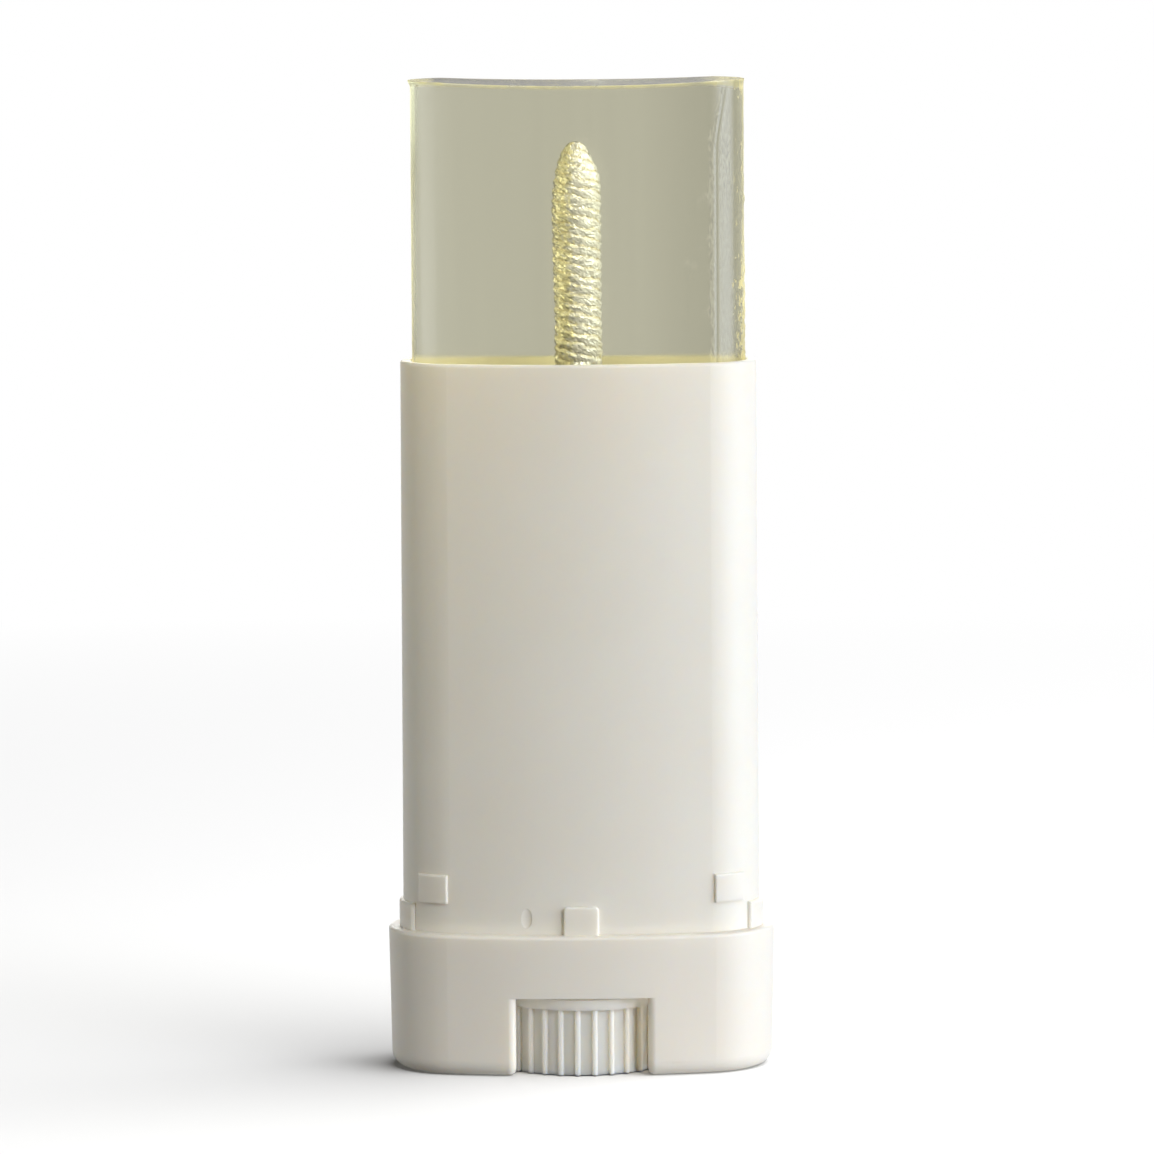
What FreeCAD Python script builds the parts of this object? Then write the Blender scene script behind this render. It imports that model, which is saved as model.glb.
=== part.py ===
"""Oval twist-up stick: a white barrel, a thumbwheel with its spindle, a carrier and a gel stick.

Millimetres, +Z up. The origin is on the surface that the stick stands on, below the spindle's
axis. +X runs along the oval's long side and -Y is the front. The carrier is drawn part-way up.
"""
import FreeCAD, Part
import Sketcher
import math
import os

SIZES = {
    # The tube is an oval of four arcs. Every other oval of the stick is parallel to it.
    "tube_width": (37.9, "outer width at the ledge"),
    "tube_depth": (16.1, "outer depth at the ledge"),
    "tube_end_radius": (6.6, "radius of the two narrow ends"),
    "tube_draft": (0.14, "mould draft of the outside, degrees"),
    "tube_wall": (1.2, "wall at the ledge"),
    "tube_top": (75.3, "height of the rim above the foot"),
    "rim_rounding": (0.3, "rounding of the rim"),
    # The collar is the wider base, with the ledge that the cap sits on.
    "collar_height": (15.0, "height of the ledge above the foot"),
    "ledge_width": (1.55, "width of the ledge around the tube"),
    "ledge_rounding": (0.35, "rounding of the ledge's outer edge"),
    "collar_draft": (1.1, "mould draft of the collar, degrees"),
    "foot_rounding": (1.6, "rounding of the collar's lower edge"),
    "skirt_wall": (2.4, "wall of the collar, measured from its ledge outline"),
    "floor_bottom": (9.5, "height of the floor's underside"),
    "floor_thickness": (1.5, "floor between the collar's hollow and the tube"),
    "window_width": (13.95, "thumb window, front and back"),
    "window_height": (8.4, "thumb window, open at the foot"),
    "window_rounding": (0.7, "rounding of the window's upright edges"),
    # Small raised pads that grip the cap.
    "face_lug_width": (3.7, "lug in the middle of each face"),
    "face_lug_height": (3.0, "its height above the ledge"),
    "face_lug_proud": (0.5, "how far it stands out of the tube"),
    "corner_lug_margin": (0.15, "distance of a corner lug from where the tube's end curves in"),
    "corner_lug_width": (3.1, "width of a corner lug"),
    "corner_lug_lift": (3.2, "height of its lower edge above the ledge"),
    "corner_lug_height": (3.0, "height of a corner lug"),
    "corner_lug_proud": (0.35, "how far it stands out of the tube"),
    "end_step_length": (1.45, "how far an end step reaches in from the tube's end"),
    "end_step_height": (2.9, "its height above the ledge"),
    "end_step_proud": (0.4, "how far it stands out of the tube"),
    "face_lug_corner": (0.4, "rounding of its upper corners"),
    "lug_rounding": (0.2, "rounding of the lugs' outer edges"),
    "end_step_rounding": (0.35, "rounding of the end steps' outer edges"),
    # Shallow oval mark of the mould's gate, on the front.
    "gate_mark_side": (5.8, "distance left of the middle plane"),
    "gate_mark_lift": (1.75, "height of its middle above the ledge"),
    "gate_mark_width": (1.3, "width"),
    "gate_mark_height": (2.1, "height"),
    "gate_mark_dip": (0.12, "depth"),
    # Thumbwheel and spindle, one moulding that snaps into the floor from below.
    "wheel_radius": (9.0, "over the flange"),
    "wheel_lift": (0.1, "gap under the wheel, so that it turns freely"),
    "wheel_height": (8.05, "from the wheel's lower edge to the top of its flange"),
    "flange_height": (1.1, "plain band above the ribs"),
    "rib_count": (30, "grip ribs"),
    "rib_width": (0.55, "width of a rib"),
    "rib_depth": (0.42, "how far a rib stands out"),
    "rib_setback": (0.08, "how far the ribs stay behind the flange"),
    "rib_phase": (-3.0, "turn of the first rib from the front, degrees"),
    "wheel_wall": (1.1, "wall of the wheel behind the ribs"),
    "wheel_web": (1.3, "thickness of the wheel's top plate"),
    "core_radius": (3.3, "core in the wheel's hollow underside"),
    "hub_radius": (5.0, "boss that bears on the floor from below"),
    "thrust_gap": (0.1, "play along the axis at the floor"),
    "journal_radius": (3.0, "shaft in the floor's hole"),
    "journal_clearance": (0.05, "running clearance around it"),
    "bead_overlap": (0.4, "how far the snap bead reaches over the floor"),
    "bead_height": (0.8, "height of the snap bead"),
    "spindle_radius": (2.1, "spindle, at the mean of its thread"),
    "spindle_depth": (6.6, "depth of the spindle's tip below the rim"),
    "tip_length": (4.8, "length of the rounded tip"),
    # Carrier that the spindle lifts, with its nut.
    "carrier_raise": (29.5, "how far the carrier is wound up"),
    "carrier_rest_gap": (0.3, "gap above the snap bead when it is wound down"),
    "carrier_skirt": (5.0, "depth of the skirt below the plate"),
    "carrier_plate": (1.5, "thickness of the plate"),
    "carrier_wall": (0.9, "wall of the skirt"),
    "carrier_rib": (1.0, "thickness of the ribs between the nut and the skirt"),
    "guide_clearance": (0.15, "gap between the carrier and the tube"),
    "nut_wall": (1.9, "wall of the nut boss"),
    "nut_clearance": (0.15, "gap between the nut and the spindle's mean size"),
    # Gel, cast around the spindle through the tube's mouth.
    "gel_clearance": (0.2, "shrinkage gap between the gel and the tube"),
    "cavity_clearance": (0.3, "gap between the gel and the spindle's mean size"),
}

# Sizes and heights that several pieces share, worked out from the sheet.
DERIVED = {
    "end_centre": "size.tube_width / 2 - size.tube_end_radius",
    "face_radius": (
        "(pow(size.tube_width / 2 - size.tube_end_radius; 2) + pow(size.tube_depth / 2; 2)"
        " - pow(size.tube_end_radius; 2)) / (size.tube_depth - 2 * size.tube_end_radius)"
    ),
    "end_start": (
        "place.end_centre + place.end_centre * (size.tube_end_radius + size.corner_lug_proud)"
        " / (place.face_radius - size.tube_end_radius)"
    ),
    "gate_mark_depth": (
        "size.tube_depth / 2 - place.face_radius"
        " + sqrt(pow(place.face_radius; 2) - pow(size.gate_mark_side; 2))"
    ),
    "floor_top": "size.floor_bottom + size.floor_thickness",
    "wheel_top": "size.wheel_lift + size.wheel_height",
    "flange_bottom": "size.wheel_lift + size.wheel_height - size.flange_height",
    "web_bottom": "size.wheel_lift + size.wheel_height - size.wheel_web",
    "rib_tip": "size.wheel_radius - size.rib_setback",
    "valley_radius": "size.wheel_radius - size.rib_setback - size.rib_depth",
    "hub_top": "size.floor_bottom - size.thrust_gap",
    "recess_radius": "place.valley_radius - size.wheel_wall",
    "journal_hole": "size.journal_radius + size.journal_clearance",
    "bead_radius": "place.journal_hole + size.bead_overlap",
    "bead_bottom": "size.floor_bottom + size.floor_thickness + size.thrust_gap",
    "bead_top": "size.floor_bottom + size.floor_thickness + size.thrust_gap + size.bead_height",
    "spindle_top": "size.tube_top - size.spindle_depth",
    "carrier_bottom": "place.bead_top + size.carrier_rest_gap + size.carrier_raise",
    "plate_bottom": "place.carrier_bottom + size.carrier_skirt",
    "plate_top": "place.plate_bottom + size.carrier_plate",
    "nut_bore": "size.spindle_radius + size.nut_clearance",
    "nut_radius": "size.spindle_radius + size.nut_clearance + size.nut_wall",
    "cavity_radius": "size.spindle_radius + size.cavity_clearance",
    "cavity_top": "place.spindle_top + size.cavity_clearance + size.carrier_raise",
    "gel_top": "size.tube_top + size.carrier_raise",
}

# How far each oval lies outside the tube's own outline at the ledge.
TUBE = "0"
BORE = "-size.tube_wall"
COLLAR = "size.ledge_width"
SKIRT_HOLLOW = "size.ledge_width - size.skirt_wall"
CARRIER = "-size.tube_wall - size.guide_clearance"
CARRIER_HOLLOW = "-size.tube_wall - size.guide_clearance - size.carrier_wall"
GEL = "-size.tube_wall - size.gel_clearance"

# A sketch numbers a curve's start, end and centre from 1 on, and its own axes from -1 down.
START, END, CENTRE = range(1, 4)
X_AXIS, Y_AXIS = range(-1, -3, -1)
ORIGIN = (X_AXIS, START)
# Points nearer than this count as one.
NEAR = 0.0001

doc = FreeCAD.newDocument("twist_up_stick")


def fill_sheet():
    """The driving sizes, one cell each, named by its alias."""
    sheet = doc.addObject("Spreadsheet::Sheet", "size")
    for row, (alias, (value, note)) in enumerate(SIZES.items(), start=1):
        sheet.set("A%d" % row, alias)
        sheet.set("B%d" % row, str(value))
        sheet.set("C%d" % row, note)
        sheet.setAlias("B%d" % row, alias)
    doc.recompute()
    return sheet


def fill_places():
    """The shared sizes that follow from the sheet."""
    places = doc.addObject("App::VarSet", "place")
    for name in DERIVED:
        places.addProperty("App::PropertyFloat", name, "Derived")
    for name, expression in DERIVED.items():
        places.setExpression(name, expression)
    doc.recompute()
    return places


size = fill_sheet()
place = fill_places()


def number(expression):
    """The present value of an expression of the sheet and the shared sizes."""
    return float(place.evalExpression(expression))


# ---------------------------------------------------------------------------------------------
# Sketch helpers
# ---------------------------------------------------------------------------------------------
def new_body(name):
    body = doc.addObject("PartDesign::Body", name)
    body.Label = name
    return body


def origin_feature(body, role):
    return next(item for item in body.Origin.OriginFeatures if item.Role == role)


def new_sketch(body, name, plane="XY_Plane", offset="0"):
    """A sketch on one of the body's own origin planes, moved along the plane's normal."""
    sketch = body.newObject("Sketcher::SketchObject", name)
    sketch.AttachmentSupport = (origin_feature(body, plane), [""])
    sketch.MapMode = "FlatFace"
    sketch.setExpression("AttachmentOffset.Base.z", offset)
    return sketch


def drive(sketch, constraint, name, expression):
    """Add a dimension, name it and bind it to an expression."""
    index = sketch.addConstraint(constraint)
    sketch.renameConstraint(index, name)
    sketch.setExpression("Constraints." + name, expression)


def arc(centre, radius, start_degrees, end_degrees):
    circle = Part.Circle(FreeCAD.Vector(centre[0], centre[1], 0), FreeCAD.Vector(0, 0, 1), radius)
    return Part.ArcOfCircle(circle, math.radians(start_degrees), math.radians(end_degrees))


def draw_oval(sketch, growth):
    """Four tangent arcs, parallel to the tube's outline and growth outside it."""
    end_centre = place.end_centre
    end_radius = size.tube_end_radius + number(growth)
    face_radius = place.face_radius + number(growth)
    face_centre = face_radius - size.tube_depth / 2 - number(growth)
    turn = math.degrees(math.atan2(face_centre, end_centre))
    right = sketch.addGeometry(arc((end_centre, 0), end_radius, -turn, turn))
    back = sketch.addGeometry(arc((0, -face_centre), face_radius, turn, 180 - turn))
    left = sketch.addGeometry(arc((-end_centre, 0), end_radius, 180 - turn, 180 + turn))
    front = sketch.addGeometry(arc((0, face_centre), face_radius, 180 + turn, 360 - turn))
    for one, other in ((right, back), (back, left), (left, front), (front, right)):
        sketch.addConstraint(Sketcher.Constraint("Tangent", one, END, other, START))
    sketch.addConstraint(Sketcher.Constraint("PointOnObject", right, CENTRE, X_AXIS))
    sketch.addConstraint(Sketcher.Constraint("Symmetric", right, CENTRE, left, CENTRE, *ORIGIN))
    sketch.addConstraint(Sketcher.Constraint("PointOnObject", back, CENTRE, Y_AXIS))
    sketch.addConstraint(Sketcher.Constraint("Equal", back, front))
    reach = Sketcher.Constraint("DistanceX", *ORIGIN, right, CENTRE, end_centre)
    drive(sketch, reach, "end_centre", "place.end_centre")
    end = Sketcher.Constraint("Radius", right, end_radius)
    drive(sketch, end, "end_radius", "size.tube_end_radius + " + growth)
    face = Sketcher.Constraint("Radius", back, face_radius)
    drive(sketch, face, "face_radius", "place.face_radius + " + growth)


def draw_circle(sketch, radius):
    circle = Part.Circle(FreeCAD.Vector(0, 0, 0), FreeCAD.Vector(0, 0, 1), number(radius))
    index = sketch.addGeometry(circle)
    sketch.addConstraint(Sketcher.Constraint("Coincident", index, CENTRE, *ORIGIN))
    drive(sketch, Sketcher.Constraint("Radius", index, number(radius)), "radius", radius)


def draw_outline(sketch, corners, prefix=""):
    """A closed outline of straight edges through corners, given as pairs of expressions.

    An edge between corners that share a coordinate is kept level or upright, and each corner
    takes from its own dimensions what the edge before it hasn't given it.
    """
    points = [FreeCAD.Vector(number(x), number(y), 0) for x, y in corners]
    count = len(corners)
    lines = []
    for index in range(count):
        line = Part.LineSegment(points[index], points[(index + 1) % count])
        lines.append(sketch.addGeometry(line))
    for index in range(count):
        following = lines[(index + 1) % count]
        sketch.addConstraint(Sketcher.Constraint("Coincident", lines[index], END, following, START))
    for index, (x, y) in enumerate(corners):
        before_x, before_y = corners[index - 1]
        if index and x == before_x:
            sketch.addConstraint(Sketcher.Constraint("Vertical", lines[index - 1]))
        else:
            place_corner(sketch, "DistanceX", lines[index], "%sx%d" % (prefix, index), x)
        if index and y == before_y:
            sketch.addConstraint(Sketcher.Constraint("Horizontal", lines[index - 1]))
        else:
            place_corner(sketch, "DistanceY", lines[index], "%sy%d" % (prefix, index), y)


def place_corner(sketch, direction, line, name, expression):
    """Hold the start of a line at a distance from the origin, or on the axis if that is 0."""
    if expression == "0":
        axis = Y_AXIS if direction == "DistanceX" else X_AXIS
        sketch.addConstraint(Sketcher.Constraint("PointOnObject", line, START, axis))
        return
    constraint = Sketcher.Constraint(direction, *ORIGIN, line, START, number(expression))
    drive(sketch, constraint, name, expression)


def draw_rectangle(sketch, low_x, low_y, high_x, high_y, prefix=""):
    corners = [(low_x, low_y), (high_x, low_y), (high_x, high_y), (low_x, high_y)]
    draw_outline(sketch, corners, prefix)


# ---------------------------------------------------------------------------------------------
# Feature helpers
# ---------------------------------------------------------------------------------------------
def extrude(body, kind, name, sketch, length=None, reverse=False, taper=None, symmetric=False):
    """A Pad or a Pocket of a sketch, over a length or, for a Pocket, through everything."""
    feature = body.newObject("PartDesign::" + kind, name)
    feature.Profile = sketch
    feature.Reversed = reverse
    if symmetric:
        feature.SideType = "Symmetric"
    if length is None:
        feature.Type = "ThroughAll"
    else:
        feature.setExpression("Length", length)
    if taper is not None:
        feature.setExpression("TaperAngle", taper)
    sketch.Visibility = False
    body.Tip = feature
    checked(body, feature, kind)
    return feature


def revolve(body, kind, name, sketch):
    """A Revolution or a Groove of a sketch on the XZ plane, about the vertical axis."""
    feature = body.newObject("PartDesign::" + kind, name)
    feature.Profile = sketch
    feature.ReferenceAxis = (sketch, ["V_Axis"])
    feature.Angle = 360
    sketch.Visibility = False
    body.Tip = feature
    checked(body, feature, kind)
    return feature


def checked(body, feature, kind):
    """Recompute, and stop where a feature failed or did not add or remove anything."""
    before = feature.BaseFeature.Shape.Volume if feature.BaseFeature else 0.0
    doc.recompute()
    if "Invalid" in feature.State or "Error" in feature.State or not feature.Shape.isValid():
        raise RuntimeError("%s.%s failed: %s" % (body.Label, feature.Name, feature.State))
    change = feature.Shape.Volume - before
    adds = kind in ("Pad", "Revolution", "PolarPattern")
    if (adds and change <= 0) or (not adds and kind != "Fillet" and change >= 0):
        raise RuntimeError("%s.%s changed nothing" % (body.Label, feature.Name))


def round_edges(body, name, radius, wanted):
    """Fillet the edges of the body's tip for which wanted(edge) holds."""
    base = body.Tip
    names = ["Edge%d" % (index + 1) for index, edge in enumerate(base.Shape.Edges) if wanted(edge)]
    if not names:
        raise RuntimeError("no edge for %s.%s" % (body.Label, name))
    feature = body.newObject("PartDesign::Fillet", name)
    feature.Base = (base, names)
    feature.setExpression("Radius", radius)
    body.Tip = feature
    checked(body, feature, "Fillet")
    return feature


def is_flat(edge):
    """Whether an edge stays at one height."""
    return edge.BoundBox.ZMax - edge.BoundBox.ZMin < NEAR


def level(edge, height):
    """Whether an edge lies at a height."""
    return is_flat(edge) and abs(edge.BoundBox.ZMin - height) < NEAR


def middle_of(edge):
    return edge.valueAt((edge.FirstParameter + edge.LastParameter) / 2)


def oval_growth(point):
    """How far a point lies outside the tube's outline at the ledge, seen from above."""
    across, along = abs(point.x), abs(point.y)
    face_centre = place.face_radius - size.tube_depth / 2
    over_end = across * face_centre > place.end_centre * (along + face_centre)
    if over_end:
        return math.hypot(across - place.end_centre, along) - size.tube_end_radius
    return math.hypot(across, along + face_centre) - place.face_radius


# ---------------------------------------------------------------------------------------------
# Barrel: tube, collar, floor, thumb windows and cap lugs in one moulding
# ---------------------------------------------------------------------------------------------
def pad_oval(body, name, growth, offset, length, **options):
    sketch = new_sketch(body, name + "_outline", offset=offset)
    draw_oval(sketch, growth)
    return extrude(body, "Pad", name, sketch, length, **options)


def make_lugs(name, proud, bottom, height, gaps, rounding, corner=None):
    """Lugs of one kind: a slab of the tube's outline grown by proud, cut away over the gaps.

    Each gap is a pair of distances along X. The bore later cuts away what is inside the tube.
    rounding goes round the outer edges, and corner, if given, on the upper corners first.
    """
    body = new_body(name)
    pad_oval(body, name + "_slab", proud, bottom, height)
    sketch = new_sketch(body, name + "_gaps", offset=bottom)
    for index, (low, high) in enumerate(gaps):
        draw_rectangle(sketch, low, "-size.tube_depth", high, "size.tube_depth", "gap%d" % index)
    extrude(body, "Pocket", name + "_cut", sketch, height, reverse=True)
    top = number(bottom + " + " + height)

    def is_top_corner(edge):
        return level(edge, top) and edge.Curve.TypeId == "Part::GeomLine"

    def is_outer(edge):
        points = [middle_of(edge)] + [vertex.Point for vertex in edge.Vertexes]
        outside = min(oval_growth(point) for point in points) > number(proud) / 2
        return outside and not level(edge, number(bottom))

    if corner:
        round_edges(body, name + "_corners", corner, is_top_corner)
    round_edges(body, name + "_edges", rounding, is_outer)
    return body


def make_barrel():
    face_half = "size.face_lug_width / 2"
    corner_in = "(place.end_start + size.corner_lug_margin)"
    corner_out = "(place.end_start + size.corner_lug_margin + size.corner_lug_width)"
    step_in = "(size.tube_width / 2 - size.end_step_length)"
    face_lugs = make_lugs(
        "face_lugs", "size.face_lug_proud", "size.collar_height", "size.face_lug_height",
        [("-size.tube_width", "-" + face_half), (face_half, "size.tube_width")],
        "size.lug_rounding", corner="size.face_lug_corner",
    )
    corner_lugs = make_lugs(
        "corner_lugs", "size.corner_lug_proud", "size.collar_height + size.corner_lug_lift",
        "size.corner_lug_height",
        [("-size.tube_width", "-" + corner_out), ("-" + corner_in, corner_in),
         (corner_out, "size.tube_width")],
        "size.lug_rounding",
    )
    end_steps = make_lugs(
        "end_steps", "size.end_step_proud", "size.collar_height", "size.end_step_height",
        [("-" + step_in, step_in)],
        "size.end_step_rounding",
    )

    body = new_body("barrel")
    pad_oval(
        body, "collar", COLLAR, "size.collar_height", "size.collar_height",
        reverse=True, taper="-size.collar_draft",
    )
    round_edges(body, "foot", "size.foot_rounding", lambda edge: level(edge, 0))
    round_edges(
        body, "ledge", "size.ledge_rounding", lambda edge: level(edge, size.collar_height)
    )
    pad_oval(
        body, "tube", TUBE, "size.collar_height", "size.tube_top - size.collar_height",
        taper="-size.tube_draft",
    )
    lugs = body.newObject("PartDesign::Boolean", "lugs")
    lugs.Type = "Fuse"
    lugs.setObjects([face_lugs, corner_lugs, end_steps])
    body.Tip = lugs
    checked(body, lugs, "Pad")
    cut_barrel(body)
    round_edges(body, "rim", "size.rim_rounding", lambda edge: level(edge, size.tube_top))
    round_edges(body, "window_edges", "size.window_rounding", is_window_edge)
    return body


def is_window_edge(edge):
    """An edge where a window's upright side meets the collar's outside."""
    box = edge.BoundBox
    across = abs(box.XMin) - size.window_width / 2
    on_side = abs(across) < NEAR and box.XMax - box.XMin < NEAR
    outside = oval_growth(middle_of(edge)) > number(SKIRT_HOLLOW) + NEAR
    return on_side and outside and not is_flat(edge)


def cut_barrel(body):
    """The tube's bore, the hollow under the floor, the spindle's hole and the windows."""
    bore = new_sketch(body, "bore_outline", offset="place.floor_top")
    draw_oval(bore, BORE)
    extrude(body, "Pocket", "bore", bore, reverse=True)
    hollow = new_sketch(body, "hollow_outline")
    draw_oval(hollow, SKIRT_HOLLOW)
    extrude(body, "Pocket", "hollow", hollow, "size.floor_bottom", reverse=True)
    hole = new_sketch(body, "journal_outline")
    draw_circle(hole, "place.journal_hole")
    extrude(body, "Pocket", "journal_hole", hole, reverse=True)
    window = new_sketch(body, "window_outline", plane="XZ_Plane")
    side = "size.window_width / 2"
    draw_rectangle(window, "-" + side, "-size.window_height", side, "size.window_height")
    extrude(body, "Pocket", "windows", window, symmetric=True)
    mark = body.newObject("PartDesign::SubtractiveEllipsoid", "gate_mark")
    mark.setExpression("Radius1", "size.gate_mark_height / 2")
    mark.setExpression("Radius2", "size.gate_mark_width / 2")
    mark.setExpression("Radius3", "size.gate_mark_dip")
    mark.setExpression("AttachmentOffset.Base.x", "-size.gate_mark_side")
    mark.setExpression("AttachmentOffset.Base.y", "-place.gate_mark_depth")
    mark.setExpression("AttachmentOffset.Base.z", "size.collar_height + size.gate_mark_lift")
    mark.AttachmentSupport = (origin_feature(body, "XY_Plane"), [""])
    mark.MapMode = "FlatFace"
    body.Tip = mark
    checked(body, mark, "Groove")


# ---------------------------------------------------------------------------------------------
# Thumbwheel and spindle, one moulding
# ---------------------------------------------------------------------------------------------
def draw_bullet(sketch, radius, shoulder, top):
    """Half of a bullet tip on the XZ plane: a flat shoulder, and an arc that starts upright."""
    wide, low, high = number(radius), number(shoulder), number(top)
    bend = (wide**2 + (high - low) ** 2) / (2 * wide)
    end_angle = math.degrees(math.asin((high - low) / bend))
    corners = [FreeCAD.Vector(0, high, 0), FreeCAD.Vector(0, low, 0), FreeCAD.Vector(wide, low, 0)]
    axis = sketch.addGeometry(Part.LineSegment(corners[0], corners[1]))
    base = sketch.addGeometry(Part.LineSegment(corners[1], corners[2]))
    curve = sketch.addGeometry(arc((wide - bend, low), bend, 0, end_angle))
    for one, other in ((axis, base), (base, curve), (curve, axis)):
        sketch.addConstraint(Sketcher.Constraint("Coincident", one, END, other, START))
    for point in (START, END):
        sketch.addConstraint(Sketcher.Constraint("PointOnObject", axis, point, Y_AXIS))
    sketch.addConstraint(Sketcher.Constraint("Horizontal", base))
    sketch.addConstraint(Sketcher.Constraint("PointOnObject", curve, CENTRE, base))
    for name, direction, line, value, expression in (
        ("top", "DistanceY", axis, high, top),
        ("shoulder", "DistanceY", base, low, shoulder),
        ("radius", "DistanceX", curve, wide, radius),
    ):
        constraint = Sketcher.Constraint(direction, *ORIGIN, line, START, value)
        drive(sketch, constraint, name, expression)


def draw_rib(sketch):
    """A grip rib at the wheel's front: straight sides, a round tip, and its root in the wall."""
    half = size.rib_width / 2
    root = -(place.valley_radius - size.wheel_wall / 2)
    tip = -(place.rib_tip - half)
    left, right = FreeCAD.Vector(-half, root, 0), FreeCAD.Vector(half, root, 0)
    side = sketch.addGeometry(Part.LineSegment(left, FreeCAD.Vector(-half, tip, 0)))
    cap = sketch.addGeometry(arc((0, tip), half, 180, 360))
    other_side = sketch.addGeometry(Part.LineSegment(FreeCAD.Vector(half, tip, 0), right))
    foot = sketch.addGeometry(Part.LineSegment(right, left))
    sketch.addConstraint(Sketcher.Constraint("Tangent", side, END, cap, START))
    sketch.addConstraint(Sketcher.Constraint("Tangent", cap, END, other_side, START))
    sketch.addConstraint(Sketcher.Constraint("Coincident", other_side, END, foot, START))
    sketch.addConstraint(Sketcher.Constraint("Coincident", foot, END, side, START))
    sketch.addConstraint(Sketcher.Constraint("Vertical", side))
    sketch.addConstraint(Sketcher.Constraint("Horizontal", foot))
    sketch.addConstraint(Sketcher.Constraint("PointOnObject", cap, CENTRE, Y_AXIS))
    for name, constraint, expression in (
        ("half", Sketcher.Constraint("Radius", cap, half), "size.rib_width / 2"),
        (
            "tip", Sketcher.Constraint("DistanceY", *ORIGIN, cap, CENTRE, tip),
            "size.rib_width / 2 - place.rib_tip",
        ),
        (
            "root", Sketcher.Constraint("DistanceY", *ORIGIN, side, START, root),
            "size.wheel_wall / 2 - place.valley_radius",
        ),
    ):
        drive(sketch, constraint, name, expression)


def make_wheel_spindle():
    body = new_body("wheel_spindle")
    profile = new_sketch(body, "profile", plane="XZ_Plane")
    shoulder = "place.spindle_top - size.tip_length"
    draw_outline(
        profile,
        [
            ("0", "size.wheel_lift"),
            ("size.core_radius", "size.wheel_lift"),
            ("size.core_radius", "place.web_bottom"),
            ("place.recess_radius", "place.web_bottom"),
            ("place.recess_radius", "size.wheel_lift"),
            ("place.valley_radius", "size.wheel_lift"),
            ("place.valley_radius", "place.flange_bottom"),
            ("size.wheel_radius", "place.flange_bottom"),
            ("size.wheel_radius", "place.wheel_top"),
            ("size.hub_radius", "place.wheel_top"),
            ("size.hub_radius", "place.hub_top"),
            ("size.journal_radius", "place.hub_top"),
            ("size.journal_radius", "place.bead_bottom"),
            ("place.bead_radius", "place.bead_bottom"),
            ("size.spindle_radius", "place.bead_top"),
            ("size.spindle_radius", shoulder),
            ("0", shoulder),
        ],
    )
    revolve(body, "Revolution", "turned", profile)
    tip = new_sketch(body, "tip_outline", plane="XZ_Plane")
    draw_bullet(tip, "size.spindle_radius", shoulder, "place.spindle_top")
    revolve(body, "Revolution", "tip", tip)
    rib = new_sketch(body, "rib_outline", offset="size.wheel_lift")
    rib.setExpression("AttachmentOffset.Rotation.Angle", "size.rib_phase")
    draw_rib(rib)
    first = extrude(body, "Pad", "rib", rib, "place.flange_bottom - size.wheel_lift")
    ribs = body.newObject("PartDesign::PolarPattern", "ribs")
    ribs.Originals = [first]
    ribs.Axis = (origin_feature(body, "Z_Axis"), [""])
    ribs.Angle = 360
    ribs.setExpression("Occurrences", "size.rib_count")
    body.Tip = ribs
    checked(body, ribs, "PolarPattern")
    return body


# ---------------------------------------------------------------------------------------------
# Carrier: plate, skirt and nut boss in one moulding
# ---------------------------------------------------------------------------------------------
def make_carrier():
    body = new_body("carrier")
    pad_oval(
        body, "plate", CARRIER, "place.carrier_bottom", "size.carrier_skirt + size.carrier_plate"
    )
    hollow = new_sketch(body, "hollow_outline", offset="place.carrier_bottom")
    draw_oval(hollow, CARRIER_HOLLOW)
    extrude(body, "Pocket", "hollow", hollow, "size.carrier_skirt", reverse=True)
    boss = new_sketch(body, "boss_outline", offset="place.carrier_bottom")
    draw_circle(boss, "place.nut_radius")
    extrude(body, "Pad", "boss", boss, "size.carrier_skirt")
    stiffener = new_sketch(body, "stiffener_outline", offset="place.carrier_bottom")
    reach = "(size.tube_width / 2 - size.tube_wall - size.guide_clearance - size.carrier_wall / 2)"
    half = "size.carrier_rib / 2"
    draw_rectangle(stiffener, "-" + reach, "-" + half, reach, half)
    extrude(body, "Pad", "stiffener", stiffener, "size.carrier_skirt")
    bore = new_sketch(body, "nut_outline", offset="place.carrier_bottom")
    draw_circle(bore, "place.nut_bore")
    extrude(body, "Pocket", "nut", bore, reverse=True)
    return body


# ---------------------------------------------------------------------------------------------
# Gel stick: cast on the carrier, with the hollow that the spindle leaves when it is wound up
# ---------------------------------------------------------------------------------------------
def make_gel():
    body = new_body("gel")
    pad_oval(body, "stick", GEL, "place.plate_top", "place.gel_top - place.plate_top")
    shoulder = "place.cavity_top - size.tip_length"
    hole = new_sketch(body, "cavity_outline", offset="place.plate_top")
    draw_circle(hole, "place.cavity_radius")
    extrude(body, "Pocket", "cavity", hole, shoulder + " - place.plate_top", reverse=True)
    tip = new_sketch(body, "cavity_tip_outline", plane="XZ_Plane")
    draw_bullet(tip, "place.cavity_radius", shoulder, "place.cavity_top")
    revolve(body, "Groove", "cavity_tip", tip)
    return body


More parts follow.
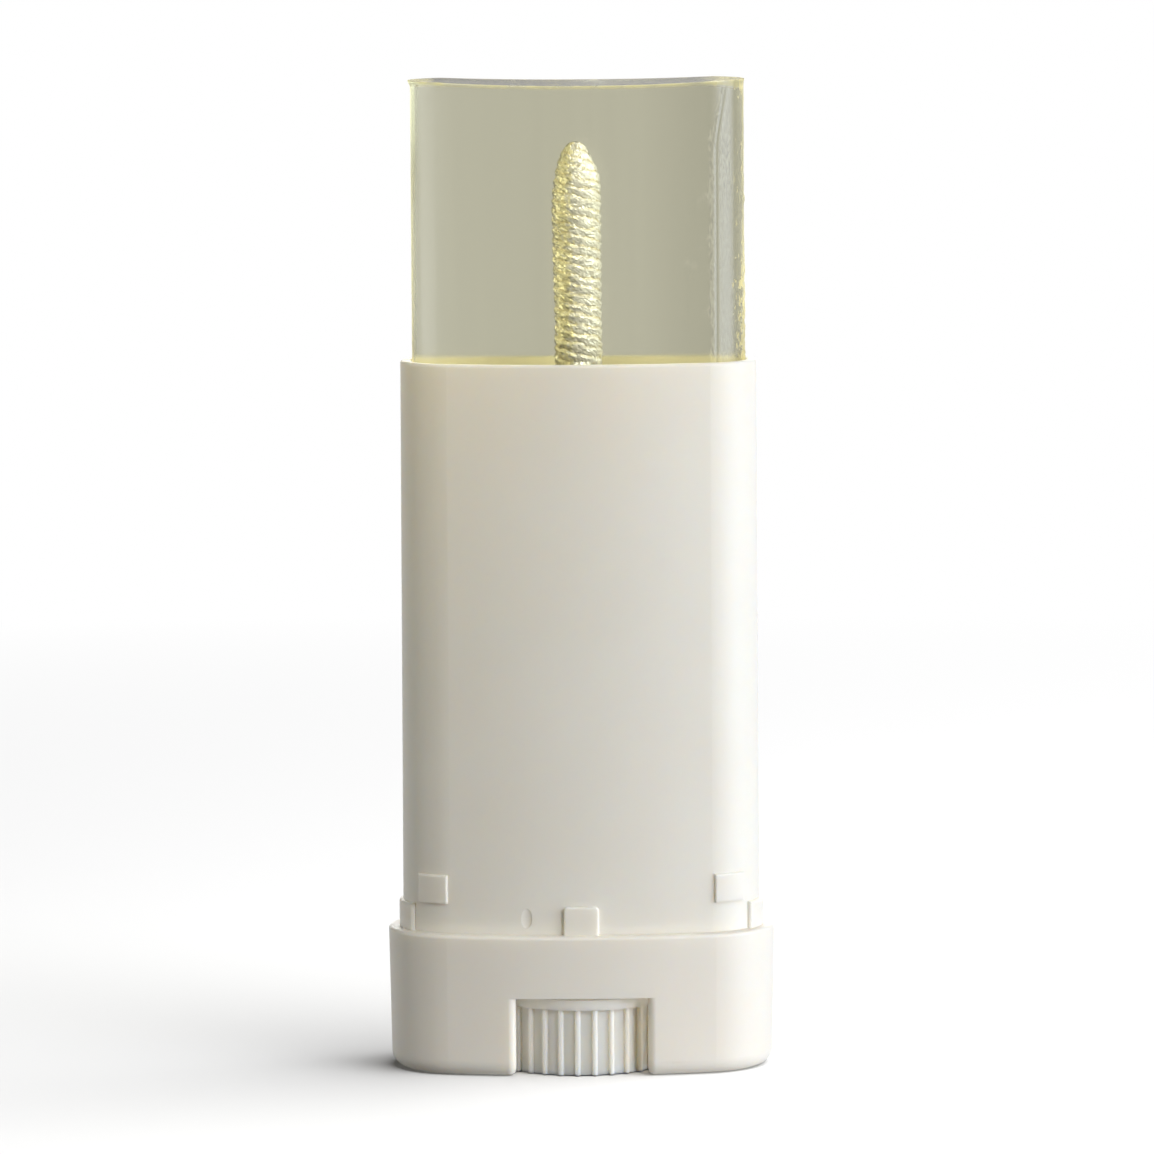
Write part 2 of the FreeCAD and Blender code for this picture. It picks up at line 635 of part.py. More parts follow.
def export(bodies):
    """Check every object of the document and each solid, then write one file a piece."""
    doc.recompute()
    for item in doc.Objects:
        if "Invalid" in item.State or "Error" in item.State:
            raise RuntimeError("%s is in state %s" % (item.Name, item.State))
    for body in bodies:
        shape = body.Shape
        if shape.isNull() or not shape.isValid() or len(shape.Solids) != 1:
            raise RuntimeError("%s is not one valid solid" % body.Label)
    os.makedirs("parts", exist_ok=True)
    for body in bodies:
        body.Shape.exportStep("parts/%s.step" % body.Label)
        box = body.Shape.optimalBoundingBox()
        print(
            "%-14s %9.1f mm3   x %.2f to %.2f   y %.2f to %.2f   z %.2f to %.2f"
            % (
                body.Label, body.Shape.Volume,
                box.XMin, box.XMax, box.YMin, box.YMax, box.ZMin, box.ZMax,
            )
        )


export([make_barrel(), make_wheel_spindle(), make_carrier(), make_gel()])
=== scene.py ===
"""Looks of the twist-up sunscreen stick: white plastic, clear gel with its bore, studio."""
import math

import bmesh
import bpy
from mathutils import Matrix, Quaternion, Vector, noise


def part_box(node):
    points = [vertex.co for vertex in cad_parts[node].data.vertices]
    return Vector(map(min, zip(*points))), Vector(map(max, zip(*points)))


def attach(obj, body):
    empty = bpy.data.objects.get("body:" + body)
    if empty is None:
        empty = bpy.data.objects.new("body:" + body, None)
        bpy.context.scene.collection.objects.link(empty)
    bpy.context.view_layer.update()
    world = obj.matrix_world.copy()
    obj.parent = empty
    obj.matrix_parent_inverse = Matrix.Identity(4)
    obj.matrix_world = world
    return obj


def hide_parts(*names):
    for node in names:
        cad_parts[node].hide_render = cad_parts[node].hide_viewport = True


MM = 0.001
TURN = 2 * math.pi

# ---------------------------------------------------------------- gel, millimetres
GEL_END_RADIUS = 5.2
RIGHT_STEPS = 80
LEFT_STEPS = 36
FACE_STEPS = 40
LOW_ROW = 0.9
VISIBLE_ROW = 0.17
LIP_HEIGHT = 0.7
LIP_ROWS = 6

# the hollow top: how deep it dips from side to side, and its sag from front to back
TOP_STEPS = 14
TOP_DIP = 0.36
TOP_DIP_REACH = 14.5
TOP_DIP_POWER = 2.2
TOP_SAG = 0.05
TOP_CORNER_RIGHT = (12.5, 15.5)
TOP_CORNER_LEFT = (14.5, 16.0)

# the milky band at the back of the rim, whose cream is painted light for the lit barrel wall
# seen through the gel: its depth, where below the rim it is full, how soon it fades above the
# rim, and how far back it is full
HELD_DEPTH = 2.0
HELD_FULL = 1.5
HELD_EDGE = 0.15
HELD_BACK = 2.0

# What follows shapes the gel's ends. Places round the outline are degrees from an end's
# middle, and drops are millimetres below the top. A hump is a middle and a reach; a band is
# where it starts, is full, is last full and ends; a slope is where it starts and is full.
LOWER_PART = (15, 22)
CUT_START = (0.4, 0.8)

# the right edge: its lumps, higher lower down, a knob, its yellow, and the flecks beside it
RIGHT_EDGE = (0, 42)
RIGHT_LUMPS = 0.03
RIGHT_LUMPS_LOW = 0.08
KNOB_DROP = (12.6, 0.7)
KNOB_HEIGHT = 0.09
RIGHT_YELLOW = (12, 21)
RIGHT_FLECKS = (-14, 34)
FLECKS_HIGH = 0.2
CRUMB_SIZE = (2.6, 0.9)
CRUMB_LEAN = 0.5
CRUMB_EDGE = (0.16, 0.24)
CRUMB_HEIGHT = 0.05

# the groove on the right shoulder: its place at its foot, its turn and the bend near the top
GROOVE_FOOT = -64
GROOVE_TURN = 13.4
GROOVE_BEND_LOW = 7
GROOVE_BEND_LENGTH = 6.3
GROOVE_BEND_POWER = 1.3

# torn strips on both sides of the groove, a bead, the groove, its line of painted shade and
# strips of painted light: these are degrees from the groove, and a name that ends in DROP says
# where down the gel
RAGGED = (5, 3)
TORN_BEFORE = (-11, -8)
TORN_BEFORE_END = (-3, -1)
TORN_AFTER = (1, 4)
TORN_AFTER_DROP = (8.5, 7.5)
CREASE_HEIGHT = 0.012
CREASE_LEVEL = 0.35
BEAD = (-4, 2.5)
BEAD_HEIGHT = 0.03
GROOVE = (0, 1.8)
GROOVE_DEPTH = 0.06
GROOVE_PAINTED_SHADE = (0, 1.7)
BEAD_PAINTED_LIGHT = (-3.6, 2.2)
BEAD_PAINTED_LIGHT_DROP = (5, 8)
PAINTED_LIGHT_AFTER = (4.5, 4)

# where the torn strip ends, and more strips, in degrees from the right end's middle: a crumbly
# strip, painted light on the shoulder, and painted shade in a band, on the shoulder and at the
# corner
TORN_AFTER_END = (-46, -38)
CRUMBLY_STRIP = (-37, 7)
PAINTED_LIGHT_SHOULDER = (-53, 14)
PAINTED_SHADE_BAND = (-42, -36, -24, -16)
PAINTED_SHADE_SHOULDER = (-74, 11)
PAINTED_SHADE_CORNER = (-14, 22)
PAINTED_SHADE_CORNER_DROP = (12, 20)

# the left edge: its lumps, the step beside it, its yellow, wider at the top, and a painted
# shade strip
LEFT_EDGE = (0, 34)
LEFT_LUMPS = 0.02
LEFT_STEP = (26, 4)
LEFT_STEP_DEPTH = 0.03
LEFT_YELLOW = (12, 24)
LEFT_YELLOW_WIDER = 9
LEFT_YELLOW_DROP = (6, 16)
LEFT_PAINTED_SHADE = (18, 24)
LEFT_PAINTED_SHADE_DROP = (8, 16)

# the lip: its corner, its yellow, the flecks on the corner, and how far it turns out
LIP_CORNER = (-20, 60)
LIP_CORNER_DEPTH = 0.5
LIP_YELLOW = (0.1, 0.5)
LIP_FLECKS = (0.7, 1.6)
LIP_OUT = 0.03
LIP_OUT_LEFT = 0.22
LIP_OUT_RIGHT = 0.05

# a faint wrinkled strip on the front, by its x, and the face's slow waves
WRINKLES = (11.8, 1.4)
WRINKLES_DROP = (5, 12)
WRINKLES_SHARE = 0.35
FACE_WAVES = 0.008

# degrees from facing straight to the front or back, where the rougher end becomes smooth face
END_TO_FACE = (18, -2)

# ---------------------------------------------------------------- bore in the gel, millimetres
BORE_CREST = 2.24
BORE_DEPTH = 0.18
BORE_ROOM = 0.13
BORE_LEAN_FOOT = 0.06
BORE_LEAN_TOP = -0.2
BORE_LEAN_END = 6
BORE_TIP_LENGTH = 7.4
BORE_TIP_POWER = 0.42
BORE_CLOSED = 6.45
BORE_COLUMNS = 72
BORE_LOW_ROW = 0.5
BORE_ROW = 0.15
BORE_TIP_ROWS = 9
BORE_LONG_FLANK = 0.7

# the bore's look: facing is 1 at the right and -1 at the left, wave runs from 0 at one crest
# to 1 at the next, and chance is between 0 and 1
# painted reflection: where the bore's left side turns yellow
BORE_LEFT = (0.1, 0.5)
# painted shade: lines along the crests
CREST_LINE_ABOVE = (0.0, 0.17)
CREST_LINE_BELOW = (1.0, 0.13)
# painted highlight: facets that face the right turn white, and painted glints
FACET_WIDTH = (0.04, 0.4)
FACET_WIDENS = (-0.1, 0.75)
FACET_STARTS = (0.0, 0.3)
GLINT_CHANCE = (0.86, 0.9)
GLINT_FACING = (-0.5, 0.0)
# painted shade: gaps at the bore's left edge and random dark pits
GAP_SHADE_FACING = (0.86, 0.94)
GAP_SHADE_WAVE = (0.5, 0.3)
SHADED_PIT_CHANCE = 0.1
SHADED_PIT_DARKNESS = 0.7

# how far vertices of the bore stray: shares of a column and of a row, then millimetres;
# each grain is its scale round the bore and its scale up it
TEAR_GRAIN = (2, 0.9)
TEAR_SHARE = 0.3
ROUGH_GRAIN = (6, 3.2)
COLUMN_JITTER = 0.4
ROW_JITTER = 0.45
BORE_ROUGHNESS = 0.04
BORE_JITTER = 0.06

# ---------------------------------------------------------------- spindle, millimetres
THREAD_LEAD = 3.1
THREAD_STARTS = 3
THREAD_FROM = 14.0
THREAD_TO = 62.5
SPINDLE_RADIUS = 2.1
SPINDLE_TIP = 4.8
SPINDLE_GAP = 0.1
RIDGE_HEIGHT = 0.1
RIDGE_HALF_WIDTH = 0.3
RIDGE_FLAT = 0.1
RIDGE_ROOT = -0.05
RIDGE_TURN_STEPS = 36
RIDGE_FADE = 40

# ---------------------------------------------------------------- camera
VIEW_PITCH = math.radians(6.6)
VIEW_ROLL = math.radians(-0.335)
VIEW_DISTANCE = 0.850
VIEW_LENS = 250.3
VIEW_AIM = Vector((-0.00026, 0, 0.0521))
SENSOR_WIDTH = 36


# ---------------------------------------------------------------- node helpers
def new_material(name):
    """A material with only its output node; returns it, its nodes and its links."""
    material = bpy.data.materials.new(name)
    material.use_nodes = True
    nodes = material.node_tree.nodes
    nodes.clear()
    output = nodes.new("ShaderNodeOutputMaterial")
    output.name = "Output"
    return material, nodes, material.node_tree.links


def add_node(nodes, kind, **values):
    """A node whose named inputs are set."""
    node = nodes.new(kind)
    for socket, value in values.items():
        node.inputs[socket.replace("_", " ")].default_value = value
    return node


def math_node(nodes, links, operation, *feeds):
    """A Math node fed by sockets or numbers; returns its output."""
    node = nodes.new("ShaderNodeMath")
    node.operation = operation
    for slot, feed in zip(node.inputs, feeds):
        if isinstance(feed, (int, float)):
            slot.default_value = feed
        else:
            links.new(feed, slot)
    return node.outputs[0]


def ramp(nodes, links, source, low, high, start, end):
    """Carries source from low..high to start..end, clamped; returns the output."""
    node = nodes.new("ShaderNodeMapRange")
    links.new(source, node.inputs["Value"])
    node.inputs["From Min"].default_value = low
    node.inputs["From Max"].default_value = high
    node.inputs["To Min"].default_value = start
    node.inputs["To Max"].default_value = end
    return node.outputs["Result"]


def mix_colours(nodes, links, factor, first, second):
    """A colour mix of two colours or sockets; returns the output."""
    node = nodes.new("ShaderNodeMix")
    node.data_type = "RGBA"
    links.new(factor, node.inputs["Factor"])
    colour_slots = [s for s in node.inputs if s.type == "RGBA"]
    for slot, feed in zip(colour_slots, (first, second)):
        if isinstance(feed, tuple):
            slot.default_value = (*feed, 1)
        else:
            links.new(feed, slot)
    return [s for s in node.outputs if s.type == "RGBA"][0]


def noise_texture(nodes, links, coordinates, scale, detail=2.0):
    """Noise on object coordinates, scale in cells per metre; returns the output."""
    node = add_node(nodes, "ShaderNodeTexNoise", Scale=scale, Detail=detail)
    links.new(coordinates, node.inputs["Vector"])
    return node.outputs["Fac"]


def stretched_noise(nodes, links, place, slant, stretch, scale, detail):
    """Noise whose cells lean by slant degrees about Y and are drawn out along Z."""
    mapping = nodes.new("ShaderNodeMapping")
    mapping.inputs["Rotation"].default_value = (0, math.radians(slant), 0)
    mapping.inputs["Scale"].default_value = (1, 1, stretch)
    links.new(place, mapping.inputs["Vector"])
    return noise_texture(nodes, links, mapping.outputs["Vector"], scale, detail)


def vertex_value(nodes, name):
    """An Attribute node that reads what the vertices say under this name."""
    node = nodes.new("ShaderNodeAttribute")
    node.attribute_name = name
    return node


def mix_shaders(nodes, links, factor, first, second):
    """A shader mix: first where factor is 0, second where it is 1; returns the output."""
    node = nodes.new("ShaderNodeMixShader")
    links.new(factor, node.inputs["Fac"])
    links.new(first, node.inputs[1])
    links.new(second, node.inputs[2])
    return node.outputs["Shader"]


def bump(nodes, links, height, strength, distance):
    """A Bump node; returns its normal."""
    node = add_node(nodes, "ShaderNodeBump", Strength=strength, Distance=distance)
    links.new(height, node.inputs["Height"])
    return node.outputs["Normal"]


# ---------------------------------------------------------------- materials
# bumps are a strength and a distance in metres; noise scales are cells per metre
PLASTIC = (0.80, 0.768, 0.685)
PLASTIC_SHADE = (0.785, 0.75, 0.665)
PLASTIC_IOR = 1.49
PLASTIC_SPREAD = (1.0, 0.82, 0.6)
PLASTIC_ROUGH = (0.40, 0.50)
CLOUD_SCALE = 70.0
GRAIN_SCALE = 2600.0
WAVE_SCALE = 240.0
WAVE_SHARE = 4.0
PLASTIC_BUMP = (0.25, 0.00001)

# the share of light that passes below the plastic's surface, and how deep it goes in metres
PLAIN_MILKY = (0.6, 0.002)
WHEEL_MILKY = (0.9, 0.003)

# the gel's tints, then what it takes out of light, its haze and its roughness
GEL_CLEAR = (0.57, 0.555, 0.442)
GEL_TOP = (0.44, 0.42, 0.37)
# painted light, then painted shade, on the clear gel
GEL_PAINTED_LIGHT = (0.74, 0.73, 0.64)
GEL_PAINTED_SHADE = (0.36, 0.35, 0.23)
# the milky band's cream, painted light
GEL_HELD_PAINTED_LIGHT = (1.0, 0.93, 0.66)
GEL_YELLOW = (0.82, 0.73, 0.30)
# the frosted yellow in painted shade
GEL_YELLOW_IN_PAINTED_SHADE = (0.42, 0.38, 0.18)
GEL_SHADOW = (0.93, 0.92, 0.84)
GEL_ABSORPTION = (0.635, 0.629, 0.501)
GEL_DENSITY = 47.0
GEL_IOR = 1.45
GEL_BUMP = (0.05, 0.00002)
FINE_SCALE = 1800.0
HAZY_TRANSMISSION = 0.05
FROST_HAZE = 0.3
FROST_TOP = 0.7
HELD_HAZE = 1.0
ROUGH_FACE = 0.08
ROUGH_END = 0.25
ROUGH_FROST = 0.40
ROUGH_TOP = 0.2

# long drawn streaks, short slanted strokes and larger slanted flecks in the gel's surface;
# each grain is its slant in degrees, its stretch, its cells per metre and its detail
STREAK_GRAIN = (0, 0.03, 700.0, 2.0)
STREAK_TONE = (0.985, 1.01)
STROKE_GRAIN = (-28, 0.32, 5200.0, 1.0)
STROKE_TONE = 0.26
STROKE_RELIEF = 40.0
FLECK_GRAIN = (-24, 0.45, 2000.0, 4.0)
FLECK_LIFT = 0.2
FLECK_EDGE = (0.665, 0.70)
FLECK_RELIEF = 30.0
FLECK_HAZE = 0.4
FLECK_YELLOW = (0.66, 0.58, 0.27)

# the bore: painted highlight on facets, ground, painted yellow reflection on the left side,
# painted shade in lines along the crests and in gaps, pits and the tip, then its finish
BORE_PAINTED_HIGHLIGHT = (1.0, 0.99, 0.92)
BORE_GREY = (0.77, 0.76, 0.70)
BORE_YELLOW = (0.87, 0.81, 0.46)
BORE_SHADE_LINE = (0.76, 0.64, 0.30)
BORE_PAINTED_SHADE = (0.25, 0.23, 0.12)
BORE_HAZE = 0.8
BORE_BRIGHT = 0.9
BORE_TORN = 0.3
BORE_FOIL = 0.42
ROUGH_BORE = 0.14


def plastic_material(name, milky, depth):
    """Satin white polypropylene, milky to a depth, faintly cloudy, with a moulded grain."""
    material, nodes, links = new_material(name)
    place = nodes.new("ShaderNodeTexCoord").outputs["Object"]
    cloud = noise_texture(nodes, links, place, CLOUD_SCALE, 3.0)
    grain = noise_texture(nodes, links, place, GRAIN_SCALE, 3.0)
    wave = noise_texture(nodes, links, place, WAVE_SCALE, 1.0)
    shader = add_node(
        nodes,
        "ShaderNodeBsdfPrincipled",
        IOR=PLASTIC_IOR,
        Specular_IOR_Level=0.4,
        Subsurface_Weight=milky,
        Subsurface_Scale=depth,
        Subsurface_Radius=PLASTIC_SPREAD,
    )
    cloudy = ramp(nodes, links, cloud, 0.35, 0.65, 0, 1)
    colour = mix_colours(nodes, links, cloudy, PLASTIC, PLASTIC_SHADE)
    rough = ramp(nodes, links, grain, 0.3, 0.7, *PLASTIC_ROUGH)
    relief = math_node(nodes, links, "MULTIPLY_ADD", wave, WAVE_SHARE, grain)
    links.new(colour, shader.inputs["Base Color"])
    links.new(rough, shader.inputs["Roughness"])
    links.new(bump(nodes, links, relief, *PLASTIC_BUMP), shader.inputs["Normal"])
    links.new(shader.outputs["BSDF"], nodes["Output"].inputs["Surface"])
    return material


def gel_material(name):
    """Clear gel; its vertices say the tint, roughness, haze, tears, flecks and silver."""
    material, nodes, links = new_material(name)
    place = nodes.new("ShaderNodeTexCoord").outputs["Object"]
    # the vertices' tint carries painted light and shade on the wall and in the bore
    tint = vertex_value(nodes, "tint")
    haze = vertex_value(nodes, "haze")
    torn = vertex_value(nodes, "torn")
    foil = vertex_value(nodes, "foil")
    strokes = stroke_noise(nodes, links, place)
    marks = math_node(nodes, links, "MULTIPLY", torn.outputs["Fac"], strokes)
    fleck = fleck_mask(nodes, links, place)
    shader = add_node(nodes, "ShaderNodeBsdfPrincipled", IOR=GEL_IOR)

    drawn = stretched_noise(nodes, links, place, *STREAK_GRAIN)
    streak = ramp(nodes, links, drawn, 0.35, 0.65, *STREAK_TONE)
    tone = math_node(nodes, links, "MULTIPLY_ADD", marks, STROKE_TONE, streak)
    toned = nodes.new("ShaderNodeVectorMath")
    toned.operation = "SCALE"
    links.new(tint.outputs["Color"], toned.inputs[0])
    links.new(tone, toned.inputs["Scale"])
    colour = mix_colours(nodes, links, fleck, toned.outputs["Vector"], FLECK_YELLOW)
    links.new(colour, shader.inputs["Base Color"])

    milky = math_node(nodes, links, "MULTIPLY", fleck, FLECK_HAZE)
    milky = math_node(nodes, links, "MAXIMUM", milky, haze.outputs["Fac"])
    clear = ramp(nodes, links, milky, 0, 1, 1, HAZY_TRANSMISSION)
    links.new(clear, shader.inputs["Transmission Weight"])
    matt = math_node(nodes, links, "MULTIPLY", fleck, ROUGH_FROST)
    matt = math_node(nodes, links, "MAXIMUM", matt, tint.outputs["Alpha"])
    links.new(matt, shader.inputs["Roughness"])
    links.new(foil.outputs["Fac"], shader.inputs["Metallic"])

    fine = noise_texture(nodes, links, place, FINE_SCALE)
    relief = math_node(nodes, links, "MULTIPLY_ADD", marks, STROKE_RELIEF, fine)
    relief = math_node(nodes, links, "MULTIPLY_ADD", fleck, FLECK_RELIEF, relief)
    links.new(bump(nodes, links, relief, *GEL_BUMP), shader.inputs["Normal"])

    passing = add_node(nodes, "ShaderNodeBsdfTransparent", Color=(*GEL_SHADOW, 1))
    shadow = nodes.new("ShaderNodeLightPath").outputs["Is Shadow Ray"]
    body, shade = shader.outputs["BSDF"], passing.outputs["BSDF"]
    surface = mix_shaders(nodes, links, shadow, body, shade)
    links.new(surface, nodes["Output"].inputs["Surface"])
    volume = add_node(
        nodes, "ShaderNodeVolumeAbsorption", Color=(*GEL_ABSORPTION, 1), Density=GEL_DENSITY
    )
    links.new(volume.outputs["Volume"], nodes["Output"].inputs["Volume"])
    return material


def stroke_noise(nodes, links, place):
    """Short slanted strokes, -1 to 1, a third of a millimetre long."""
    grain = stretched_noise(nodes, links, place, *STROKE_GRAIN)
    return ramp(nodes, links, grain, 0.3, 0.7, -1, 1)


def fleck_mask(nodes, links, place):
    """1 in slanted flecks of torn gel; there are more where the vertices' fleck is higher."""
    share = vertex_value(nodes, "fleck").outputs["Fac"]
    grain = stretched_noise(nodes, links, place, *FLECK_GRAIN)
    lifted = math_node(nodes, links, "MULTIPLY_ADD", share, FLECK_LIFT, grain)
    mask = ramp(nodes, links, lifted, *FLECK_EDGE, 0, 1)
    present = ramp(nodes, links, share, 0, 0.1, 0, 1)
    return math_node(nodes, links, "MULTIPLY", mask, present)


def studio_ray(nodes, links):
    """1 for rays that show the background: from the camera, off gloss and through glass."""
    path = nodes.new("ShaderNodeLightPath")
    seen = path.outputs["Is Camera Ray"]
    for kind in ("Is Glossy Ray", "Is Transmission Ray"):
        seen = math_node(nodes, links, "MAXIMUM", seen, path.outputs[kind])
    return seen


def floor_material():
    """White paper round the object, running out to an even white further off, with a painted
    shadow to the left that only rays through glass see.
    """
    material, nodes, links = new_material("floor_white")
    seen = studio_ray(nodes, links)
    paper = nodes.new("ShaderNodeBsdfDiffuse")
    tone = mix_colours(nodes, links, seen, FLOOR_BOUNCE, FLOOR_PAPER)
    links.new(tone, paper.inputs["Color"])
    place = nodes.new("ShaderNodeTexCoord").outputs["Object"]
    away = nodes.new("ShaderNodeVectorMath")
    away.operation = "LENGTH"
    links.new(place, away.inputs[0])
    split = nodes.new("ShaderNodeSeparateXYZ")
    links.new(place, split.inputs[0])
    # painted shadow: the far floor's glow is dimmer to the left, for rays through glass only
    side = math_node(nodes, links, "DIVIDE", split.outputs["X"], away.outputs["Value"])
    dim = ramp(nodes, links, side, *FLOOR_LEFT_PAINTED_SHADE_SIDE, FLOOR_LEFT_PAINTED_SHADE, 1)
    loss = math_node(nodes, links, "SUBTRACT", dim, 1.0)
    through = nodes.new("ShaderNodeLightPath").outputs["Is Transmission Ray"]
    level = math_node(nodes, links, "MULTIPLY_ADD", through, loss, 1.0)
    glow = add_node(nodes, "ShaderNodeEmission", Color=(1, 1, 1, 1))
    strength = math_node(nodes, links, "MULTIPLY", seen, level)
    links.new(strength, glow.inputs["Strength"])
    far = ramp(nodes, links, away.outputs["Value"], *FLOOR_FADE, 0, 1)
    both = mix_shaders(nodes, links, far, paper.outputs["BSDF"], glow.outputs["Emission"])
    links.new(both, nodes["Output"].inputs["Surface"])
    return material


# ---------------------------------------------------------------- the gel's outline
def oval(half_width, half_depth, end_radius):
    """The four-arc oval's end centre, face radius and angle where a face meets an end."""
    end_centre = half_width - end_radius
    rise = half_depth - end_radius
    face_radius = (end_centre**2 + half_depth**2 - end_radius**2) / (2 * rise)
    seam = math.asin(end_centre / (face_radius - end_radius))
    return end_centre, face_radius, seam


class Outline:
    """The gel's oval: a point for each outward direction, counted from +X."""

    def __init__(self, half_width, half_depth, end_radius):
        self.half_depth = half_depth
        self.end_radius = end_radius
        shape = oval(half_width, half_depth, end_radius)
        self.end_centre, self.face_radius, self.seam = shape

    def point(self, angle, growth=0.0):
        """The oval's point that faces this way, moved outward by growth."""
        along, across = math.cos(angle), math.sin(angle)
        if abs(along) > math.sin(self.seam):
            centre = (math.copysign(self.end_centre, along), 0)
            radius = self.end_radius + growth
        else:
            centre = (0, -math.copysign(self.face_radius - self.half_depth, across))
            radius = self.face_radius + growth
        return centre[0] + radius * along, centre[1] + radius * across

    def angles(self):
        """Directions once round the oval from its left end, closest on the right end."""
        reach = math.pi / 2 - self.seam
        turns = []
        for start, span, steps in (
            (math.pi, reach, LEFT_STEPS),
            (math.pi + reach, 2 * self.seam, FACE_STEPS),
            (TURN - reach, reach, RIGHT_STEPS),
        ):
            turns += [start + span * step / steps for step in range(steps)]
        return turns + [TURN] + [2 * TURN - turn for turn in reversed(turns[1:])]


def clamp(value):
    """The value held to 0..1."""
    return min(1.0, max(0.0, value))


def smooth(value, low, high):
    """0 below low, 1 above high and a smooth rise between."""
    share = clamp((value - low) / (high - low))
    return share * share * (3 - 2 * share)


def hump(value, middle, reach):
    """1 at the middle, falling smoothly to 0 at reach from it."""
    return 1 - smooth(abs(value - middle), 0, reach)


def band(value, start, full, last, end):
    """1 from full to last, falling smoothly to 0 at start and at end."""
    return smooth(value, start, full) * (1 - smooth(value, last, end))


def from_side(angle, side):
    """How far a direction lies from side, in degrees."""
    away = (angle - side + math.pi) % TURN - math.pi
    return math.degrees(away)


def top_level(x, top):
    """Height of the gel's hollow top surface above the middle line."""
    return top - TOP_DIP * max(0.0, 1 - abs(x / TOP_DIP_REACH) ** TOP_DIP_POWER)


def grain3(x, y, z, scale, seed=0.0):
    """Signed noise with cells of 1/scale millimetres."""
    return noise.noise(Vector((x * scale + seed, y * scale, z * scale)))


def blend(first, second, share):
    """Between two colours."""
    share = clamp(share)
    return tuple(a + (b - a) * share for a, b in zip(first, second))


def groove_direction(drop):
    """Where the groove on the gel's right shoulder runs, in degrees from the right end."""
    bend = clamp((GROOVE_BEND_LOW - drop) / GROOVE_BEND_LENGTH)
    return GROOVE_FOOT + GROOVE_TURN * bend**GROOVE_BEND_POWER


def crumb(x, y, z, seed):
    """1 in small slanted flecks of torn gel, 0 between them."""
    wide, tall = CRUMB_SIZE
    across = (x + CRUMB_LEAN * z) * wide
    return smooth(noise.noise(Vector((across + seed, y * wide, z * tall))), *CRUMB_EDGE)


def right_edge(x, y, z, right, drop):
    """The torn right edge: how far it stands out, how yellow it is, and the flecks by it."""
    low = smooth(drop, *LOWER_PART)
    edge = hump(right, *RIGHT_EDGE)
    lumps = 0.5 + grain3(x, y, z, 0.9, 3) + 0.6 * grain3(x, y, z, 2.4, 9)
    shift = edge * (RIGHT_LUMPS + RIGHT_LUMPS_LOW * low) * lumps
    shift += KNOB_HEIGHT * edge * hump(drop, *KNOB_DROP)
    yellow = 1 - smooth(abs(right), *RIGHT_YELLOW)
    yellow *= 0.8 + 0.5 * grain3(x, y, z, 1.5, 5)
    fleck = hump(right, *RIGHT_FLECKS) * (FLECKS_HIGH + (1 - FLECKS_HIGH) * low)
    shift += CRUMB_HEIGHT * fleck * crumb(x, y, z, 21) * low
    return shift, yellow, fleck


def right_shoulder(x, y, z, right, drop):
    """The shoulder round the groove: its shift, how torn it is, and its painted light and
    shade.
    """
    low = smooth(drop, *LOWER_PART)
    cut = smooth(drop, *CUT_START)
    along = right - groove_direction(drop)
    ragged = RAGGED[0] * grain3(x, y, z, 0.45, 61) + RAGGED[1] * grain3(x, y, z, 1.6, 63)

    # torn on both sides of the groove, more so near the top, and crumbly lower down
    before = smooth(along - ragged, *TORN_BEFORE) * (1 - smooth(along, *TORN_BEFORE_END))
    after = smooth(along, *TORN_AFTER) * (1 - smooth(right - ragged, *TORN_AFTER_END))
    torn = cut * (before + after * (0.4 + 0.6 * hump(drop, *TORN_AFTER_DROP)))
    torn = max(torn, low * hump(right - ragged, *CRUMBLY_STRIP))

    # creases in the torn strips, a bead beside the groove and the groove itself
    wrinkles = abs(grain3(x * 2.2, y * 2.2, z * 0.8, 1.0, 31))
    creases = wrinkles + 0.6 * abs(grain3(x, y, z, 2.9, 37))
    shift = CREASE_HEIGHT * torn * (creases - CREASE_LEVEL)
    shift += cut * (BEAD_HEIGHT * hump(along, *BEAD) - GROOVE_DEPTH * hump(along, *GROOVE))

    # painted light in strips by the groove and on the shoulder, less painted shade in the
    # groove's line, in a band, on the shoulder and round the corner
    line = cut * hump(along, *GROOVE_PAINTED_SHADE)
    bead = hump(along, *BEAD_PAINTED_LIGHT) * smooth(drop, *BEAD_PAINTED_LIGHT_DROP)
    painted_light = cut * (0.8 * bead + 0.5 * hump(along, *PAINTED_LIGHT_AFTER))
    painted_light += 0.4 * cut * before
    painted_light += 0.3 * hump(right, *PAINTED_LIGHT_SHOULDER)
    shade = 0.8 * band(right, *PAINTED_SHADE_BAND) + 0.5 * hump(right, *PAINTED_SHADE_SHOULDER)
    corner = hump(right, *PAINTED_SHADE_CORNER) * (1 - smooth(drop, *PAINTED_SHADE_CORNER_DROP))
    return shift, torn, painted_light - line - max(shade, corner)


def left_edge(x, y, z, left, drop):
    """The smoother left edge with a faint step beside it: its shift, yellow and painted shade.
    """
    low = smooth(drop, *LOWER_PART)
    lumps = grain3(x, y, z, 0.7, 13) + low * grain3(x, y, z, 2.6, 17)
    shift = hump(left, *LEFT_EDGE) * LEFT_LUMPS * lumps
    shift -= LEFT_STEP_DEPTH * hump(left, *LEFT_STEP)
    narrow, wide = LEFT_YELLOW
    wide += LEFT_YELLOW_WIDER * (1 - smooth(drop, *LEFT_YELLOW_DROP))
    yellow = 1 - smooth(abs(left), narrow, wide)
    yellow *= 0.8 + 0.3 * grain3(x, y, z, 0.8, 15)
    # painted shade: a dim strip beside the left edge, near the top
    dim = hump(left, *LEFT_PAINTED_SHADE) * (1 - smooth(drop, *LEFT_PAINTED_SHADE_DROP))
    return shift, yellow, dim


